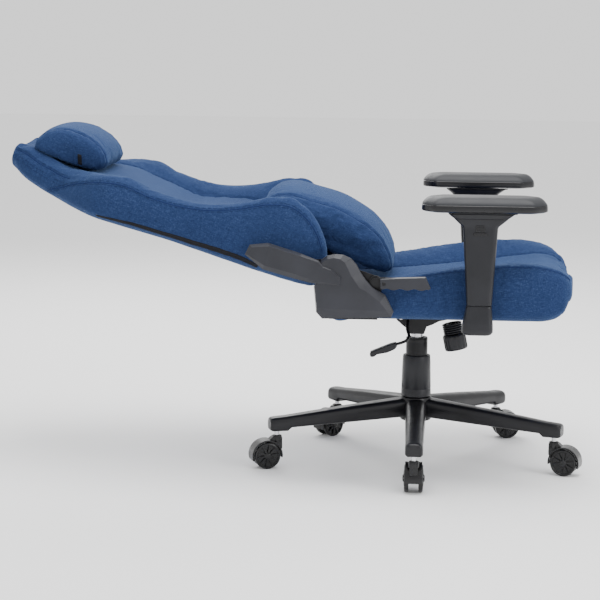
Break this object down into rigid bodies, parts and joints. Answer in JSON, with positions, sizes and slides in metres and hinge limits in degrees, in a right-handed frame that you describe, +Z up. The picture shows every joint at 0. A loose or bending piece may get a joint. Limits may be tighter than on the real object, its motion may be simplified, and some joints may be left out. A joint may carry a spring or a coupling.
{
  "type": "gaming chair",
  "caption": "Reclining fabric gaming chair on a five-star caster base, with gas lift, tilt, adjustable armrests and head and lumbar pillows.",
  "frame": {"origin": "on the floor under the middle of the chair's outline with its backrest reclined, on its left-right symmetry plane", "axes": "+Z up; +X towards the front of the seat; +Y towards the sitter's left"},
  "size_m": [1.3126, 0.6975, 0.7775],
  "materials": {
    "blue_fabric": "matte",
    "cover_plastic": "satin",
    "arm_plastic": "satin",
    "pad_rubber": "matte",
    "base_nylon": "gloss",
    "caster_nylon": "satin",
    "black_steel": "satin",
    "bright_steel": "polished",
    "plywood": "matte"
  },
  "bodies": {
    "base": {"base_star": "base_nylon", "gas_outer_tube": "black_steel", "column_cover": "arm_plastic"},
    "lift_rod": {"gas_piston_rod": "bright_steel"},
    "mechanism": {"gas_inner_tube": "bright_steel", "mechanism_housing": "black_steel", "tilt_pin": "bright_steel", "tension_spring": "bright_steel", "spring_boot": "arm_plastic"},
    "tension_knob": {"tension_knob": "arm_plastic"},
    "height_lever": {"height_lever_rod": "black_steel", "height_lever_grip": "arm_plastic"},
    "seat": {"seat_plate": "black_steel", "seat_board": "plywood", "seat_cushion": "blue_fabric", "recliner_plate_left": "black_steel", "recliner_plate_right": "black_steel", "hinge_cover_seat_left": "cover_plastic", "hinge_cover_seat_right": "cover_plastic", "cross_rod": "black_steel", "arm_bracket_left": "black_steel", "arm_bracket_right": "black_steel", "arm_boot_left": "arm_plastic", "arm_boot_right": "arm_plastic"},
    "recline_lever": {"recline_lever_arm": "black_steel", "recline_lever_grip": "cover_plastic"},
    "back": {"back_cushion": "blue_fabric", "back_frame": "black_steel", "hinge_cover_back_left": "cover_plastic", "hinge_cover_back_right": "cover_plastic"},
    "headrest": {"headrest_pillow": "blue_fabric"},
    "lumbar": {"lumbar_pillow": "blue_fabric"},
    "arm_height_left": {"arm_sleeve_left": "arm_plastic"},
    "arm_trigger_left": {"arm_trigger_left": "cover_plastic"},
    "arm_slide_left": {"pad_carrier_left": "arm_plastic"},
    "arm_pad_left": {"arm_pad_left": "pad_rubber"},
    "arm_height_right": {"arm_sleeve_right": "arm_plastic"},
    "arm_trigger_right": {"arm_trigger_right": "cover_plastic"},
    "arm_slide_right": {"pad_carrier_right": "arm_plastic"},
    "arm_pad_right": {"arm_pad_right": "pad_rubber"},
    "caster_1": {"caster_1_hood": "caster_nylon", "caster_1_stem": "bright_steel"},
    "caster_1_left": {"caster_1_wheel_left": "caster_nylon"},
    "caster_1_right": {"caster_1_wheel_right": "caster_nylon"},
    "caster_2": {"caster_2_hood": "caster_nylon", "caster_2_stem": "bright_steel"},
    "caster_2_left": {"caster_2_wheel_left": "caster_nylon"},
    "caster_2_right": {"caster_2_wheel_right": "caster_nylon"},
    "caster_3": {"caster_3_hood": "caster_nylon", "caster_3_stem": "bright_steel"},
    "caster_3_left": {"caster_3_wheel_left": "caster_nylon"},
    "caster_3_right": {"caster_3_wheel_right": "caster_nylon"},
    "caster_4": {"caster_4_hood": "caster_nylon", "caster_4_stem": "bright_steel"},
    "caster_4_left": {"caster_4_wheel_left": "caster_nylon"},
    "caster_4_right": {"caster_4_wheel_right": "caster_nylon"},
    "caster_5": {"caster_5_hood": "caster_nylon", "caster_5_stem": "bright_steel"},
    "caster_5_left": {"caster_5_wheel_left": "caster_nylon"},
    "caster_5_right": {"caster_5_wheel_right": "caster_nylon"}
  },
  "joints": [
    {"name": "seat_swivel", "type": "hinge", "parent": "base", "child": "lift_rod", "pos_m": [0.285, 0, 0.12], "axis": [0, 0, 1], "continuous": true},
    {"name": "gas_lift", "type": "slide", "parent": "lift_rod", "child": "mechanism", "axis": [0, 0, 1], "range_m": [0, 0.08]},
    {"name": "seat_tilt", "type": "hinge", "parent": "mechanism", "child": "seat", "pos_m": [0.248, 0, 0.3425], "axis": [0, -1, 0], "range_deg": [0, 12], "stiffness_Nm_per_rad": 250, "springref_deg": -13.75},
    {"name": "tension_knob_turn", "type": "hinge", "parent": "mechanism", "child": "tension_knob", "pos_m": [0.373, 0, 0.281], "axis": [-0.2079, 0, 0.9781], "continuous": true},
    {"name": "height_lever_lift", "type": "hinge", "parent": "mechanism", "child": "height_lever", "pos_m": [0.264, -0.047, 0.338], "axis": [-1, 0, 0], "range_deg": [0, 8], "stiffness_Nm_per_rad": 0.8, "springref_deg": -17.19},
    {"name": "backrest_recline", "type": "hinge", "parent": "seat", "child": "back", "pos_m": [0.107, 0, 0.474], "axis": [0, 1, 0], "range_deg": [0, 70]},
    {"name": "recline_lever_pull", "type": "hinge", "parent": "seat", "child": "recline_lever", "pos_m": [0.195, -0.284, 0.455], "axis": [0, -1, 0], "range_deg": [0, 25], "stiffness_Nm_per_rad": 0.6, "springref_deg": -28.65},
    {"name": "headrest_slide", "type": "slide", "parent": "back", "child": "headrest", "axis": [-0.9511, 0, 0.309], "range_m": [-0.04, 0.02]},
    {"name": "lumbar_slide", "type": "slide", "parent": "back", "child": "lumbar", "axis": [-0.9511, 0, 0.309], "range_m": [0, 0.168]},
    {"name": "arm_left_height", "type": "slide", "parent": "seat", "child": "arm_height_left", "axis": [0, 0, 1], "range_m": [0, 0.07]},
    {"name": "arm_left_trigger_press", "type": "slide", "parent": "arm_height_left", "child": "arm_trigger_left", "axis": [0, -1, 0], "range_m": [0, 0.0025], "stiffness_N_per_m": 400, "springref_m": -0.002},
    {"name": "arm_left_pad_slide", "type": "slide", "parent": "arm_height_left", "child": "arm_slide_left", "axis": [1, 0, 0], "range_m": [-0.025, 0.025]},
    {"name": "arm_left_pad_turn", "type": "hinge", "parent": "arm_slide_left", "child": "arm_pad_left", "pos_m": [0.425, 0.29, 0.61], "axis": [0, 0, 1], "range_deg": [-15, 15]},
    {"name": "arm_right_height", "type": "slide", "parent": "seat", "child": "arm_height_right", "axis": [0, 0, 1], "range_m": [0, 0.07]},
    {"name": "arm_right_trigger_press", "type": "slide", "parent": "arm_height_right", "child": "arm_trigger_right", "axis": [0, 1, 0], "range_m": [0, 0.0025], "stiffness_N_per_m": 400, "springref_m": -0.002},
    {"name": "arm_right_pad_slide", "type": "slide", "parent": "arm_height_right", "child": "arm_slide_right", "axis": [1, 0, 0], "range_m": [-0.025, 0.025]},
    {"name": "arm_right_pad_turn", "type": "hinge", "parent": "arm_slide_right", "child": "arm_pad_right", "pos_m": [0.425, -0.29, 0.61], "axis": [0, 0, 1], "range_deg": [-15, 15]},
    {"name": "caster_1_swivel", "type": "hinge", "parent": "base", "child": "caster_1", "pos_m": [0.285, -0.33, 0.08], "axis": [0, 0, 1], "continuous": true},
    {"name": "caster_1_roll_left", "type": "hinge", "parent": "caster_1", "child": "caster_1_left", "pos_m": [0.285, -0.304, 0.03], "axis": [-1, 0, 0], "continuous": true},
    {"name": "caster_1_roll_right", "type": "hinge", "parent": "caster_1", "child": "caster_1_right", "pos_m": [0.285, -0.304, 0.03], "axis": [-1, 0, 0], "continuous": true},
    {"name": "caster_2_swivel", "type": "hinge", "parent": "base", "child": "caster_2", "pos_m": [0.59885, -0.10198, 0.08], "axis": [0, 0, 1], "continuous": true},
    {"name": "caster_2_roll_left", "type": "hinge", "parent": "caster_2", "child": "caster_2_left", "pos_m": [0.62371, -0.10958, 0.03], "axis": [0.2924, 0.9563, 0], "continuous": true},
    {"name": "caster_2_roll_right", "type": "hinge", "parent": "caster_2", "child": "caster_2_right", "pos_m": [0.62371, -0.10958, 0.03], "axis": [0.2924, 0.9563, 0], "continuous": true},
    {"name": "caster_3_swivel", "type": "hinge", "parent": "base", "child": "caster_3", "pos_m": [0.47897, 0.26698, 0.08], "axis": [0, 0, 1], "continuous": true},
    {"name": "caster_3_roll_left", "type": "hinge", "parent": "caster_3", "child": "caster_3_left", "pos_m": [0.5044, 0.27238, 0.03], "axis": [-0.2079, 0.9781, 0], "continuous": true},
    {"name": "caster_3_roll_right", "type": "hinge", "parent": "caster_3", "child": "caster_3_right", "pos_m": [0.5044, 0.27238, 0.03], "axis": [-0.2079, 0.9781, 0], "continuous": true},
    {"name": "caster_4_swivel", "type": "hinge", "parent": "base", "child": "caster_4", "pos_m": [0.09103, 0.26698, 0.08], "axis": [0, 0, 1], "continuous": true},
    {"name": "caster_4_roll_left", "type": "hinge", "parent": "caster_4", "child": "caster_4_left", "pos_m": [0.07265, 0.24859, 0.03], "axis": [0.7071, -0.7071, 0], "continuous": true},
    {"name": "caster_4_roll_right", "type": "hinge", "parent": "caster_4", "child": "caster_4_right", "pos_m": [0.07265, 0.24859, 0.03], "axis": [0.7071, -0.7071, 0], "continuous": true},
    {"name": "caster_5_swivel", "type": "hinge", "parent": "base", "child": "caster_5", "pos_m": [-0.02885, -0.10198, 0.08], "axis": [0, 0, 1], "continuous": true},
    {"name": "caster_5_roll_left", "type": "hinge", "parent": "caster_5", "child": "caster_5_left", "pos_m": [-0.05328, -0.11087, 0.03], "axis": [0.342, -0.9397, 0], "continuous": true},
    {"name": "caster_5_roll_right", "type": "hinge", "parent": "caster_5", "child": "caster_5_right", "pos_m": [-0.05328, -0.11087, 0.03], "axis": [0.342, -0.9397, 0], "continuous": true}
  ],
  "couplings": [
    {"joint": "lumbar_slide", "follows": "backrest_recline", "m_per_rad": 0.137}
  ]
}
